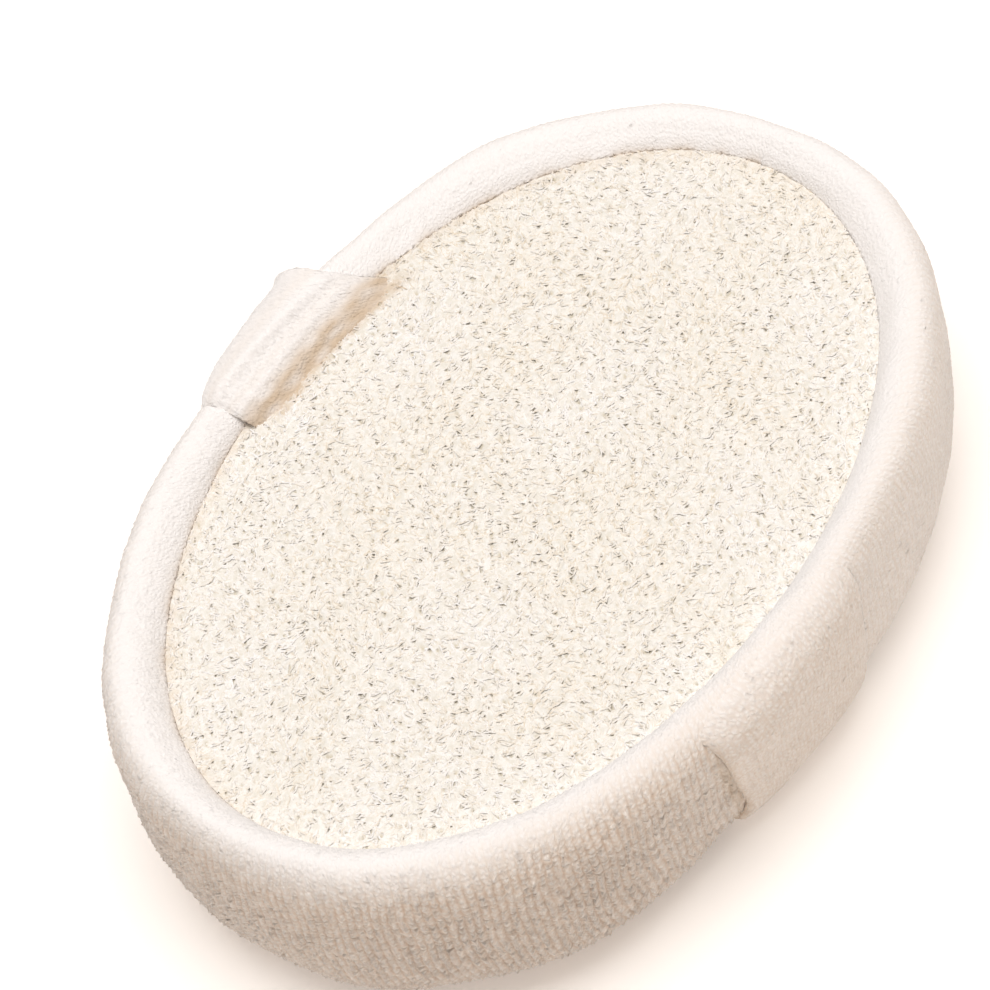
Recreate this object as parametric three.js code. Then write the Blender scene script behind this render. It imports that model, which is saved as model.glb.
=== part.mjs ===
// An oval bath pad: a pressed panel of natural loofah held in a terry cloth cover over a foam core,
// with a terry hand strap sewn on at both long sides. Millimetres, +Z up.
// It lies with the loofah facing up, on the flat run of the strap under its back.
// The origin is on that resting plane, below the middle of the oval. +X runs along the oval.

import * as THREE from "three";
import { mergeVertices } from "three/addons/utils/BufferGeometryUtils.js";

// Driving dimensions
const LENGTH = 150; // the oval over the terry wall
const WIDTH = 106;
const PAD_HEIGHT = 33.6; // from the lowest point of the cover to the crown of the rim
const STRAP_WIDTH = 31;
const STRAP_THICKNESS = 2.5;
const STRAP_SHIFT = -1.2; // the strap's middle along the oval
const STRAP_SKEW = 0.137; // how far it drifts along the oval for each millimetre across the pad
const SEAT_GAP = 0.3; // left between pieces that touch

// The oval is squarer at the wall than where the rim ends on the loofah
const WALL_POWER = 2.24;
const FACE_POWER = 2.03;
const RIM_WIDTH = 7.6; // how far in from the wall the rim reaches over the loofah
const BACK_RIM_WIDTH = 10.6; // the same on the underside, over the back panel
const LATHE_STEPS = 72;

// Heights
const PAD_BOTTOM = STRAP_THICKNESS + SEAT_GAP;
const CROWN = PAD_BOTTOM + PAD_HEIGHT;
const RIM_STANDS_PROUD = 4.4; // the rim's crown over the loofah
const RIM_UNDERSIDE = CROWN - RIM_STANDS_PROUD;
const LOOFAH_THICKNESS = 5.8;
const LOOFAH_EDGE_TOP = RIM_UNDERSIDE - SEAT_GAP;
const LOOFAH_BOTTOM = LOOFAH_EDGE_TOP - LOOFAH_THICKNESS;
const LOOFAH_DOME = 0.9; // how much the loofah swells in the middle
const BACK_RECESS = 4.8; // the back panel lies this far inside the lower rim: room for a hand
const BACK_THICKNESS = 3;
const BACK_BOTTOM = PAD_BOTTOM + BACK_RECESS;
const BACK_TOP = BACK_BOTTOM + BACK_THICKNESS;
const LOWER_RIM_TOP = BACK_BOTTOM - SEAT_GAP;

// The cover's wall
const WALL_THICKNESS = 3.4;
const LINING_INSET = WALL_THICKNESS + SEAT_GAP; // where the edges of the loofah and the foam lie
const BACK_EDGE_INSET = 4.8;

// The loofah's net of fibres, larger than life: a honeycomb shaken out of shape, raised on the panel.
// Its walls are the fibres, and its cells the gaps between them.
const NET_SEED = 20;
const NET_PITCH = 5; // from one gap to the next
const NET_SHAKE = 0.95; // how far a knot of the net lies out of line
const FIBRE_RISE = [0.25, 0.95]; // the net's knots over the panel's surface
const GAP_DEPTH = 0.75; // the gaps' floors below it
const GAP_SHARE = 0.5; // a gap's floor as a share of its cell
const NET_BORDER = RIM_WIDTH + 0.3; // how far in from the wall the net may start

const halfLength = LENGTH / 2;
const halfWidth = WIDTH / 2;

// The oval at a distance in from the wall: half length, half width and power.
// Near the wall its border is even. Towards the middle it shrinks evenly to a point.
const EVEN_BORDER = 15;
function ovalAt(inset) {
  const even = Math.min(inset, EVEN_BORDER);
  const shrink = (halfLength - inset) / (halfLength - even);
  const t = Math.min(inset / RIM_WIDTH, 1);
  return {
    a: (halfLength - even) * shrink,
    b: (halfWidth - even) * shrink,
    power: THREE.MathUtils.lerp(WALL_POWER, FACE_POWER, t),
  };
}

function ovalPoint(inset, angle) {
  const { a, b, power } = ovalAt(inset);
  const rounded = (v) => Math.sign(v) * Math.abs(v) ** (2 / power);
  return [a * rounded(Math.cos(angle)), b * rounded(Math.sin(angle))];
}

// Over or under 1 as a point lies outside or inside the oval at that inset
function ovalLevel(x, y, inset) {
  const { a, b, power } = ovalAt(inset);
  return Math.abs(x / a) ** power + Math.abs(y / b) ** power;
}

// A profile turned on a circle of half the pad's length, then pressed into the oval.
// A profile point is (distance in from the wall, height).
function ovalTurned(profile) {
  const turned = new THREE.LatheGeometry(
    profile.map((p) => new THREE.Vector2(Math.max(halfLength - p.x, 0), p.y)),
    LATHE_STEPS,
  );
  turned.rotateX(Math.PI / 2);
  const position = turned.getAttribute("position");
  for (let i = 0; i < position.count; i++) {
    const [x, y, z] = [position.getX(i), position.getY(i), position.getZ(i)];
    const inset = halfLength - Math.hypot(x, y);
    const [ox, oy] = ovalPoint(inset, Math.atan2(y, x));
    position.setXYZ(i, ox, oy, z);
  }
  return weldedFacingOut(turned);
}

// One closed skin: shared corners merged, collapsed faces dropped and all faces turned outwards
function weldedFacingOut(geometry) {
  const bare = geometry.clone();
  bare.deleteAttribute("normal");
  bare.deleteAttribute("uv");
  const merged = mergeVertices(bare, 1e-3);
  const corner = (i) => new THREE.Vector3().fromBufferAttribute(merged.getAttribute("position"), i);
  const kept = [];
  let volume = 0;
  for (let i = 0; i < merged.index.count; i += 3) {
    const [p, q, r] = [0, 1, 2].map((k) => merged.index.getX(i + k));
    if (p === q || q === r || r === p) continue;
    kept.push(p, q, r);
    volume += corner(p).dot(corner(q).cross(corner(r)));
  }
  if (volume < 0) kept.reverse();
  merged.setIndex(kept);
  return merged;
}

// Seeded draw from 0 to 1
function seededDraw(seed) {
  let state = seed;
  return () => {
    state = (state + 0x6d2b79f5) | 0;
    let t = Math.imul(state ^ (state >>> 15), 1 | state);
    t = (t + Math.imul(t ^ (t >>> 7), 61 | t)) ^ t;
    return ((t ^ (t >>> 14)) >>> 0) / 4294967296;
  };
}

// The outside of the cover in section, as (distance in from the wall, height): from the rim's inner edge
// over the crown and down the wall to the lowest point
const CROWN_INSET = 4.9;
const LOWEST_INSET = 7;
function coverOutside() {
  const path = new THREE.Path();
  path.moveTo(RIM_WIDTH, RIM_UNDERSIDE);
  path.quadraticCurveTo(RIM_WIDTH, CROWN, CROWN_INSET, CROWN);
  path.bezierCurveTo(1.6, CROWN, 0, CROWN - 3.6, 0, CROWN - 9.5);
  path.lineTo(0, CROWN - 15);
  path.bezierCurveTo(0, CROWN - 22, 1.6, PAD_BOTTOM, LOWEST_INSET, PAD_BOTTOM);
  return path.getPoints(5);
}

// The terry band: wall, rolled rim over the loofah's edge and lower rim under the back panel's edge
function sideBand() {
  const lowerRim = new THREE.Path();
  lowerRim.moveTo(LOWEST_INSET, PAD_BOTTOM);
  lowerRim.quadraticCurveTo(BACK_RIM_WIDTH, PAD_BOTTOM, BACK_RIM_WIDTH, LOWER_RIM_TOP);
  const inside = [
    new THREE.Vector2(BACK_EDGE_INSET - SEAT_GAP, LOWER_RIM_TOP),
    new THREE.Vector2(WALL_THICKNESS, BACK_TOP + SEAT_GAP),
    new THREE.Vector2(WALL_THICKNESS, RIM_UNDERSIDE),
  ];
  const section = [...coverOutside(), ...lowerRim.getPoints(3).slice(1), ...inside];
  return ovalTurned([...section, section[0]]);
}

function foamCore() {
  const bottom = BACK_TOP + SEAT_GAP;
  const top = LOOFAH_BOTTOM - SEAT_GAP;
  const chamfer = 1.5;
  return ovalTurned([
    new THREE.Vector2(halfLength, bottom),
    new THREE.Vector2(LINING_INSET + chamfer, bottom),
    new THREE.Vector2(LINING_INSET, bottom + chamfer),
    new THREE.Vector2(LINING_INSET, top - chamfer),
    new THREE.Vector2(LINING_INSET + chamfer, top),
    new THREE.Vector2(halfLength, top),
  ]);
}

function backPanel() {
  return ovalTurned([
    new THREE.Vector2(halfLength, BACK_BOTTOM),
    new THREE.Vector2(BACK_EDGE_INSET, BACK_BOTTOM),
    new THREE.Vector2(BACK_EDGE_INSET, BACK_TOP),
    new THREE.Vector2(halfLength, BACK_TOP),
  ]);
}

// The loofah's surface over the oval, before the net: level under the rim, then a low swell to the middle
function loofahTop(x, y) {
  const rise = 1 - Math.min(ovalLevel(x, y, NET_BORDER), 1);
  return LOOFAH_EDGE_TOP + LOOFAH_DOME * rise;
}

// The net's cells that lie on the face with at least four corners.
// A cell is its six corners, anticlockwise, on a lattice of half pitches.
const NET_STEP_X = NET_PITCH / 2;
const NET_STEP_Y = NET_PITCH / Math.sqrt(12);
const CELL_CORNERS = [[1, 1], [0, 2], [-1, 1], [-1, -1], [0, -2], [1, -1]];
function netCells() {
  const rows = Math.ceil(halfWidth / (3 * NET_STEP_Y));
  const columns = Math.ceil(halfLength / NET_PITCH);
  const onFace = ([i, j]) => ovalLevel(i * NET_STEP_X, j * NET_STEP_Y, NET_BORDER) < 1;
  const cells = [];
  for (let row = -rows; row <= rows; row++) {
    for (let column = -columns; column <= columns; column++) {
      const middle = [2 * column + Math.abs(row % 2), 3 * row];
      const corners = CELL_CORNERS.map(([i, j]) => [middle[0] + i, middle[1] + j]);
      if (corners.filter(onFace).length >= 4) cells.push(corners);
    }
  }
  return cells;
}

// Where the net's knots lie, by lattice place. Those on its outer edge lie on the panel's surface,
// and any that would lie outside the face are drawn in to its border.
function netKnots(cells) {
  const draw = seededDraw(NET_SEED);
  const between = (low, high) => low + (high - low) * draw();
  const uses = new Map();
  for (const place of cells.flat()) {
    uses.set(String(place), (uses.get(String(place)) ?? 0) + 1);
  }
  const knots = new Map();
  for (const place of cells.flat()) {
    if (knots.has(String(place))) continue;
    const shakenX = place[0] * NET_STEP_X + between(-NET_SHAKE, NET_SHAKE);
    const shakenY = place[1] * NET_STEP_Y + between(-NET_SHAKE, NET_SHAKE);
    const drawnIn = Math.max(ovalLevel(shakenX, shakenY, NET_BORDER + 0.5), 1) ** (-1 / FACE_POWER);
    const x = shakenX * drawnIn;
    const y = shakenY * drawnIn;
    const rise = uses.get(String(place)) === CELL_CORNERS.length / 2 ? between(...FIBRE_RISE) : 0;
    knots.set(String(place), new THREE.Vector3(x, y, loofahTop(x, y) + rise));
  }
  return knots;
}

// The corners along the net's outer edge, in order: each edge there belongs to one cell only
function netOutline(cells) {
  const edges = new Set();
  for (const corners of cells) {
    corners.forEach((place, k) => edges.add(`${place}>${corners[(k + 1) % corners.length]}`));
  }
  const onward = new Map();
  for (const edge of edges) {
    const [from, to] = edge.split(">");
    if (!edges.has(`${to}>${from}`)) onward.set(from, to);
  }
  const outline = [onward.keys().next().value];
  while (onward.get(outline.at(-1)) !== outline[0]) outline.push(onward.get(outline.at(-1)));
  return outline;
}

// The panel of loofah with its net: gaps, the border around the net, the panel's edge and its underside
function loofahFace() {
  const cells = netCells();
  const knots = netKnots(cells);
  const corners = [];
  const addFace = (...points) => points.forEach((p) => corners.push(p.x, p.y, p.z));
  for (const cell of cells) {
    const around = cell.map((place) => knots.get(String(place)));
    const middle = around.reduce((sum, p) => sum.add(p), new THREE.Vector3()).divideScalar(around.length);
    const floorOf = (p) => {
      const sunk = middle.clone().lerp(p, GAP_SHARE);
      return sunk.setZ(loofahTop(sunk.x, sunk.y) - GAP_DEPTH);
    };
    middle.setZ(loofahTop(middle.x, middle.y) - GAP_DEPTH);
    around.forEach((p, k) => {
      const q = around[(k + 1) % around.length];
      addFace(p, q, floorOf(q));
      addFace(p, floorOf(q), floorOf(p));
      addFace(middle, floorOf(p), floorOf(q));
    });
  }
  const ring = (inset, z) =>
    Array.from({ length: LATHE_STEPS }, (_, k) => {
      const [x, y] = ovalPoint(inset, (2 * Math.PI * k) / LATHE_STEPS);
      return new THREE.Vector3(x, y, z);
    });
  const border = ring(NET_BORDER, LOOFAH_EDGE_TOP);
  const netEdge = netOutline(cells).map((place) => knots.get(place));
  const flat = (points) => points.map((p) => new THREE.Vector2(p.x, p.y));
  for (const face of THREE.ShapeUtils.triangulateShape(flat(border), [flat(netEdge)])) {
    addFace(...face.map((i) => [...border, ...netEdge][i]));
  }
  const edgeTop = ring(LINING_INSET, LOOFAH_EDGE_TOP);
  const edgeBottom = ring(LINING_INSET, LOOFAH_BOTTOM);
  const under = new THREE.Vector3(0, 0, LOOFAH_BOTTOM);
  for (let k = 0; k < LATHE_STEPS; k++) {
    const n = (k + 1) % LATHE_STEPS;
    addFace(border[k], edgeTop[k], edgeTop[n]);
    addFace(border[k], edgeTop[n], border[n]);
    addFace(edgeTop[k], edgeBottom[k], edgeBottom[n]);
    addFace(edgeTop[k], edgeBottom[n], edgeTop[n]);
    addFace(edgeBottom[k], under, edgeBottom[n]);
  }
  const face = new THREE.BufferGeometry();
  face.setAttribute("position", new THREE.Float32BufferAttribute(corners, 3));
  return weldedFacingOut(face);
}

// The strap in section across the pad: from its end on one rim, down the wall, flat under the back
// and up the other wall to its other end. One end is folded over the whole rim onto the loofah,
// and the other stops on the crown.
const STRAP_TONGUE_INSET = RIM_WIDTH + 2.4;
const STRAP_TONGUE_HEIGHT = LOOFAH_EDGE_TOP + FIBRE_RISE[1] + 0.2;
const STRAP_END_THICKNESS = 1.2;
const STRAP_TAPER = 9; // length over which an end thins out
function strapSide(reachesLoofah) {
  const outside = coverOutside();
  const fromCrown = outside.slice(outside.findIndex((p) => p.x <= CROWN_INSET));
  const drape = new THREE.CubicBezierCurve(
    new THREE.Vector2(STRAP_TONGUE_INSET, STRAP_TONGUE_HEIGHT),
    new THREE.Vector2(RIM_WIDTH + 0.7, STRAP_TONGUE_HEIGHT),
    new THREE.Vector2(RIM_WIDTH + 0.2, CROWN),
    fromCrown[0],
  );
  const line = reachesLoofah ? [...drape.getPoints(6).slice(0, -1), ...fromCrown] : fromCrown;
  let run = 0;
  return line.map((p, i) => {
    const before = line[Math.max(i - 1, 0)];
    const after = line[Math.min(i + 1, line.length - 1)];
    run += p.distanceTo(before);
    const normal = new THREE.Vector2(after.y - before.y, before.x - after.x).normalize();
    const t = THREE.MathUtils.smoothstep(run, 0, STRAP_TAPER);
    const thickness = THREE.MathUtils.lerp(STRAP_END_THICKNESS, STRAP_THICKNESS, t);
    if (i === line.length - 1) normal.set(0, -1);
    return {
      inner: p.clone().addScaledVector(normal, SEAT_GAP),
      outer: p.clone().addScaledVector(normal, SEAT_GAP + thickness),
    };
  });
}

function handStrap() {
  const onSide = (p, side) => new THREE.Vector2(side * (halfWidth - p.x), p.y);
  const foldedEnd = strapSide(true);
  const crownEnd = strapSide(false);
  const outline = [
    ...foldedEnd.map((p) => onSide(p.outer, 1)),
    ...crownEnd.map((p) => onSide(p.outer, -1)).reverse(),
    ...crownEnd.map((p) => onSide(p.inner, -1)),
    ...foldedEnd.map((p) => onSide(p.inner, 1)).reverse(),
  ];
  const strap = new THREE.ExtrudeGeometry(new THREE.Shape(outline), {
    depth: STRAP_WIDTH,
    steps: 6,
    bevelEnabled: false,
  });
  // From (across, up, along the oval) to the pad's axes, slanted and drawn in where the wall curves away
  const position = strap.getAttribute("position");
  for (let i = 0; i < position.count; i++) {
    const across = position.getX(i);
    const x = position.getZ(i) - STRAP_WIDTH / 2 + STRAP_SHIFT + STRAP_SKEW * across;
    const { a, power } = ovalAt(Math.min(halfWidth - Math.abs(across), STRAP_TONGUE_INSET));
    const follow = (1 - Math.abs(x / a) ** power) ** (1 / power);
    position.setXYZ(i, x, across * follow, position.getY(i));
  }
  return weldedFacingOut(strap);
}

function piece(name, geometry, color, roughness) {
  const material = new THREE.MeshStandardMaterial({ color, roughness, metalness: 0 });
  const mesh = new THREE.Mesh(geometry, material);
  mesh.name = name;
  return mesh;
}

const LOOFAH_CREAM = 0xefe4cc;
const TERRY_WHITE = 0xf3e9e2;
const FOAM_WHITE = 0xf1ecdf;

const pad = new THREE.Group();
pad.add(piece("loofah_face", loofahFace(), LOOFAH_CREAM, 0.85));
pad.add(piece("foam_core", foamCore(), FOAM_WHITE, 0.95));
pad.add(piece("terry_side_band", sideBand(), TERRY_WHITE, 1));
pad.add(piece("terry_back_panel", backPanel(), TERRY_WHITE, 1));
pad.add(piece("hand_strap", handStrap(), TERRY_WHITE, 1));

export default pad;
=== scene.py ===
# %% [markdown]
# # An oval loofah bath pad
# The pad is a panel of pressed loofah, the dried fibre net of a gourd, sewn into a white terry cover.
# A terry strap crosses its back and holds it on the hand. The solids give the size and the place of each
# piece. This lesson dresses them: thousands of separate fibres for the loofah, and a cloth whose every loop
# is a small bump of the mesh. Lengths below are in millimetres, and become metres when a mesh is made.

import math

import bpy
import numpy as np
from mathutils import Matrix, Vector


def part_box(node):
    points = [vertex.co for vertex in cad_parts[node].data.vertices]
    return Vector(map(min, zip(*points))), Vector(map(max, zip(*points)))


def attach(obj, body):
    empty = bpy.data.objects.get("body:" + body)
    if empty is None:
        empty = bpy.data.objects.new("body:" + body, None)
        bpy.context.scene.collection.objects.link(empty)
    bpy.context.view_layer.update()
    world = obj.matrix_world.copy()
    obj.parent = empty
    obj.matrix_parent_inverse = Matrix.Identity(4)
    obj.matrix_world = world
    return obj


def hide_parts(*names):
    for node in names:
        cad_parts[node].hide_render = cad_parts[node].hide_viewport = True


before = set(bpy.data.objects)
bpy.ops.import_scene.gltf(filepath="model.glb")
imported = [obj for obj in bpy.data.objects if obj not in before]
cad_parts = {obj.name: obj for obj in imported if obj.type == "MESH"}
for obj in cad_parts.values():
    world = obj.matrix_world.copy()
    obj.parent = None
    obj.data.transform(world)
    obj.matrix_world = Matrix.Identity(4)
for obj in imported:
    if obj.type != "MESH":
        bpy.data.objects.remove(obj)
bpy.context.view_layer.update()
MM = 0.001

# %% [markdown]
# ## The oval and the cover's section
# Everything on the pad follows one oval, a superellipse that is a little squarer at the wall than at the
# loofah. A point of the pad is then given by an angle round the oval, a distance in from the wall, and a
# height. The wall's size is read from the solids, so the cloth fits them.

# %% Measure the solids
band_low, band_high = (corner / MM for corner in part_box("terry_side_band"))
panel_low, panel_high = (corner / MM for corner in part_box("terry_back_panel"))
loofah_low, _ = (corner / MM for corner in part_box("loofah_face"))
LOOPS_OVER_CROWN = 0.4  # room for the loops under the top of the solid
RIM_WIDTH = 7.6  # from the wall in to the loofah
RIM_STANDS_PROUD = 4.4  # of the loofah's edge
BACK_RIM_WIDTH = 10.6
WALL_THICKNESS = 3.4
SEAT_GAP = 0.3  # between pieces that lie on each other
RIDGE_INSET = 2.8  # of the rim's highest line
LOWEST_INSET = 7.0  # of the lower rim's lowest line
half_length = band_high.x
half_width = band_high.y
crown = band_high.z - LOOPS_OVER_CROWN
pad_bottom = band_low.z
back_bottom = panel_low.z
back_top = panel_high.z
rim_underside = band_high.z - RIM_STANDS_PROUD
face_height = rim_underside - SEAT_GAP
print(f"oval {2 * half_length:.0f} x {2 * half_width:.0f}, crown {crown:.1f}, loofah at {face_height:.1f}")

# %% The oval
WALL_POWER = 2.24  # 2 is an ellipse, more is squarer
FACE_POWER = 2.03
EVEN_BORDER = 15.0  # up to this far in, the oval keeps an even distance from the wall
ANGLE_STEPS = 4096


def oval_axes(inset):
    """Half length, half width and power of the oval at a distance in from the wall."""
    even = np.minimum(inset, EVEN_BORDER)
    shrink = (half_length - inset) / (half_length - even)
    power = WALL_POWER + (FACE_POWER - WALL_POWER) * np.clip(inset / RIM_WIDTH, 0, 1)
    return (half_length - even) * shrink, (half_width - even) * shrink, power


def oval_point(inset, angle):
    a, b, power = oval_axes(inset)
    c, s = np.cos(angle), np.sin(angle)
    return a * np.sign(c) * np.abs(c) ** (2 / power), b * np.sign(s) * np.abs(s) ** (2 / power)


def oval_level(x, y, inset):
    """Under 1 inside the oval at that inset, over 1 outside it."""
    a, b, power = oval_axes(inset)
    return np.abs(x / a) ** power + np.abs(y / b) ** power


def even_angles(count):
    """Angles of points spaced evenly along the wall."""
    fine = np.linspace(0, 2 * np.pi, 20001)
    x, y = oval_point(0, fine)
    run = np.concatenate([[0], np.cumsum(np.hypot(np.diff(x), np.diff(y)))])
    return np.interp(np.arange(count) / count * run[-1], run, fine), run[-1]


angles, girth = even_angles(ANGLE_STEPS)
print(f"the wall is {girth:.0f} mm round")

# %% [markdown]
# The cover's section is a line from the loofah over the rim, down the wall and round to the back. It could
# be drawn by hand as a profile. Here it is a chain of Bezier curves, so that it follows the measures above.

# %% The cover's section
SMOOTHED_OVER = 13  # points of the line that share one normal


def curve_points(*handles, count=60):
    """Points of a Bezier curve through its handles, given as (inset, height)."""
    t = np.linspace(0, 1, count)[:, None]
    points = [np.array(h, float)[None] * np.ones_like(t) for h in handles]
    while len(points) > 1:
        points = [p * (1 - t) + q * t for p, q in zip(points, points[1:])]
    return points[0]


def unit(vectors):
    """The same directions, each with a length of 1."""
    return vectors / np.linalg.norm(vectors, axis=-1, keepdims=True).clip(1e-9)


class Section:
    """A line in section that can be read at any run along it: place, and outward normal."""

    def __init__(self, points, side=1):
        keep = np.concatenate([[True], np.hypot(*np.diff(points, axis=0).T) > 1e-6])
        self.points = points[keep]
        steps = np.hypot(*np.diff(self.points, axis=0).T)
        self.runs = np.concatenate([[0], np.cumsum(steps)])
        self.length = self.runs[-1]
        slope = np.gradient(self.points, self.runs, axis=0)
        window = np.ones(SMOOTHED_OVER) / SMOOTHED_OVER
        longer = [np.pad(c, SMOOTHED_OVER // 2, "edge") for c in slope.T]
        slope = unit(np.stack([np.convolve(c, window, "valid") for c in longer], 1))
        self.normals = side * np.stack([slope[:, 1], -slope[:, 0]], 1)

    def at(self, run, lift):
        place = [np.interp(run, self.runs, c) for c in self.points.T]
        normal = [np.interp(run, self.runs, c) for c in self.normals.T]
        return place[0] + normal[0] * lift, place[1] + normal[1] * lift


cover_parts = [
    curve_points(
        (RIM_WIDTH, face_height - 0.1),
        (RIM_WIDTH - 1.2, crown - 1.9),
        (RIDGE_INSET + 2.2, crown),
        (RIDGE_INSET, crown),
    ),
    curve_points((RIDGE_INSET, crown), (1.0, crown), (0, crown - 2.4), (0, crown - 7.5)),
    curve_points((0, crown - 7.5), (0, crown - 15), count=40),
    curve_points((0, crown - 15), (0, crown - 22), (1.6, pad_bottom), (LOWEST_INSET, pad_bottom)),
    curve_points(
        (LOWEST_INSET, pad_bottom),
        (BACK_RIM_WIDTH, pad_bottom),
        (BACK_RIM_WIDTH, back_bottom - SEAT_GAP),
    ),
]
cover = Section(np.concatenate(cover_parts))
print(f"the cover's section runs {cover.length:.1f} mm from the loofah round to the back")

# %% [markdown]
# ## Meshes from arrays
# A mesh of a hundred thousand corners is too slow to build one face at a time. Here every piece is made as
# arrays of points and triangles, and one helper turns them into an object that rides on the solids.

# %% Helpers for meshes
def add_object(name, data):
    """An object of the scene, from a mesh, a lamp or a camera."""
    made = bpy.data.objects.new(name, data)
    bpy.context.scene.collection.objects.link(made)
    return made


def add_piece(name, points, triangles, stands_for, uv, values, weave=None):
    """An object from points in millimetres. uv and weave have a row for each corner of each triangle."""
    corners = points[triangles]
    volume = np.einsum("ij,ij->i", corners[:, 0], np.cross(corners[:, 1], corners[:, 2])).sum()
    way = -1 if volume < 0 else 1  # a mesh that is inside out is turned
    mesh = bpy.data.meshes.new(name)
    mesh.from_pydata(points * MM, [], triangles[:, ::way])
    mesh.polygons.foreach_set("use_smooth", np.ones(len(triangles), bool))
    for layer, places in (("OFBake", uv), ("Weave", weave)):
        if places is not None:
            flat = np.ascontiguousarray(places.reshape(-1, 3, 2)[:, ::way], np.float32).ravel()
            mesh.uv_layers.new(name=layer).data.foreach_set("uv", flat)
    for key, value in values.items():
        layer = mesh.attributes.new(key, "FLOAT", "POINT")
        layer.data.foreach_set("value", np.asarray(value, np.float32))
    mesh.update()
    piece = add_object(name, mesh)
    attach(piece, "root")
    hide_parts(stands_for)
    print(f"{name}: {len(points)} points, {len(triangles)} triangles")
    return piece


def joined_loops(first, second):
    """Triangles between two closed loops of as many points."""
    ahead, behind = np.roll(first, -1), np.roll(second, -1)
    return np.concatenate([np.stack([first, ahead, behind], 1), np.stack([first, behind, second], 1)])


def fan(loop, middle):
    """Triangles from a closed loop to one point."""
    return np.stack([loop, np.roll(loop, -1), np.full(len(loop), middle)], 1)


def waves(x, y, scale, seed, count=7):
    """Smooth seeded swells between about -1 and 1, over that many millimetres."""
    draw = np.random.default_rng(seed)
    total = 0
    for heading, phase in zip(draw.uniform(0, 2 * np.pi, count), draw.uniform(0, 2 * np.pi, count)):
        pace = draw.uniform(0.7, 1.5) * 2 * np.pi / scale
        total = total + np.sin(pace * (x * np.cos(heading) + y * np.sin(heading)) + phase)
    return total / math.sqrt(count)


def rise(value, start, end):
    """0 up to start and 1 from end on, straight between them. End may be the lower of the two."""
    return np.clip((value - start) / (end - start), 0, 1)


def bump(value, middle, width):
    """1 at the middle, fading away smoothly on both sides."""
    return np.exp(-(((value - middle) / width) ** 2))


# %% [markdown]
# ## Terry cloth
# Terry is woven with a slack yarn that stands out in loops. On the pad the loops stand in ribs that run
# down the wall. A bump texture would leave the outline smooth, so the mesh itself has the loops: each is a
# cell of a grid with a raised point in its middle, a lower point where it meets the next loop of its rib,
# and the lowest points between the ribs.

# %% The loops of a terry cloth
BAND_LOOP = (1.3, 0.7)  # a loop's size across and along its rib
STRAP_LOOP = (0.88, 0.78)


class Terry:
    """A grid of loops. Columns are ribs, rows are loops. Heights are shares of the pile's depth.

    Seeded draws make each loop a little higher or lower than the next, and put it out of line.
    """

    def __init__(self, width, length, loop, closed_round, ribbed, seed):
        draw = np.random.default_rng(seed)
        self.size = (width, length)
        columns, rows = self.columns, self.rows = round(width / loop[0]), round(length / loop[1])
        self.lines = columns if closed_round else columns + 1
        corner_u, corner_v = np.meshgrid(np.arange(self.lines), np.arange(rows + 1))
        rib_u, rib_v = np.meshgrid(np.arange(columns) + 0.5, np.arange(rows + 1))
        loop_u, loop_v = np.meshgrid(np.arange(columns) + 0.5, np.arange(rows) + 0.5)
        size = draw.normal(1, 0.22, loop_u.shape).clip(0.8, 1.4)
        inner = (corner_v > 0) & (corner_v < rows) & (corner_u > 0) & (corner_u < self.lines - 1)
        shift = draw.uniform(-0.2, 0.2, corner_u.shape) * inner
        rib_shift = draw.uniform(-0.16, 0.16, rib_u.shape) * ((rib_v > 0) & (rib_v < rows))
        lean = draw.normal(0, 0.13, (2, *loop_u.shape)).clip(-0.26, 0.26)
        across = [corner_u + shift / 2, rib_u, loop_u + lean[0]]
        along = [corner_v + shift, rib_v + rib_shift, loop_v + lean[1]]
        self.u = np.concatenate([part.ravel() for part in across])
        self.v = np.concatenate([part.ravel() for part in along])
        out_of_step = np.interp(self.u, np.arange(columns) + 0.5, draw.uniform(-0.25, 0.25, columns))
        self.v += out_of_step * np.clip(self.v / 3, 0, 1) * np.clip((rows - self.v) / 3, 0, 1)
        low = draw.normal(0.35 - 0.3 * ribbed, 0.12, corner_u.size).clip(0, 0.6)
        middle = draw.normal(0.5, 0.12, rib_u.size).clip(0.1, 0.7)
        self.height = np.concatenate([low, middle, size.ravel()])
        self._index(closed_round)
        print(f"a cloth with {columns} ribs of {rows} loops")

    def _index(self, closed_round):
        i, j = (a.ravel() for a in np.meshgrid(np.arange(self.columns), np.arange(self.rows)))
        right = (i + 1) % self.columns if closed_round else i + 1
        ribs = self.lines * (self.rows + 1)
        loops = ribs + self.columns * (self.rows + 1)
        self.corner = lambda a, b: b * self.lines + a
        self.rib = lambda a, b: ribs + b * self.columns + a
        loop = loops + j * self.columns + i
        ring = [
            (self.corner(i, j), 0, 0),
            (self.rib(i, j), 0.5, 0),
            (self.corner(right, j), 1, 0),
            (self.corner(right, j + 1), 1, 1),
            (self.rib(i, j + 1), 0.5, 1),
            (self.corner(i, j + 1), 0, 1),
        ]
        faces, places = [], []
        for (p, pu, pv), (q, qu, qv) in zip(ring, ring[1:] + ring[:1]):
            faces.append(np.stack([loop, p, q], 1))
            corners = [(i + 0.5, j + 0.5), (i + pu, j + pv), (i + qu, j + qv)]
            places.append(np.stack([np.stack(c, 1) for c in corners], 1))
        self.triangles = np.concatenate(faces)
        self.uv = np.concatenate(places).reshape(-1, 2) / (self.columns, self.rows)

    def edge(self, row):
        """The points along one row of the grid, in order."""
        i = np.arange(self.columns)
        line = np.stack([self.corner(i, row), self.rib(i, row)], 1).ravel()
        return line if self.lines == self.columns else np.append(line, self.corner(self.columns, row))


# %% [markdown]
# ## The side band and its rolled rim
# One band of terry makes the wall. It is rolled over the loofah's edge as a soft rim, and under the back.
# A cloth simulation could find how it lies, but it would move the outline, which is known, and pull the
# loops about. So the lie of the cloth is written out as small moves of the points.

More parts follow.
